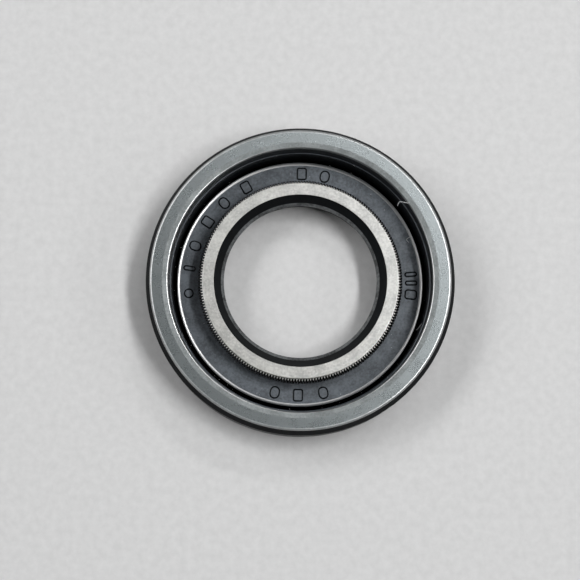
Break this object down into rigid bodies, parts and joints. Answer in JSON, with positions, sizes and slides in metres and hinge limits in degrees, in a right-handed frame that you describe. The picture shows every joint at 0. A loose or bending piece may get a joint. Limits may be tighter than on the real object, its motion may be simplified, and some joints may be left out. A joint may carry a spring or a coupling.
{
  "type": "radial shaft seal",
  "caption": "Rubber-covered radial shaft seal with a spring-loaded sealing lip and a dust lip, pressed into a housing bore round a turning shaft.",
  "frame": {"origin": "centre of the air-side contact face, on the seal's axis", "axes": "+Z along the seal's axis from the air side to the spring side; X and Y are alike, as the seal is round"},
  "size_m": [0.0302, 0.0302, 0.006],
  "materials": {
    "rubber": "satin",
    "case_steel": "dark phosphated",
    "spring_steel": "bright drawn wire"
  },
  "bodies": {
    "root": {"rubber_body": "rubber", "steel_case": "case_steel", "garter_spring": "spring_steel"}
  },
  "joints": []
}
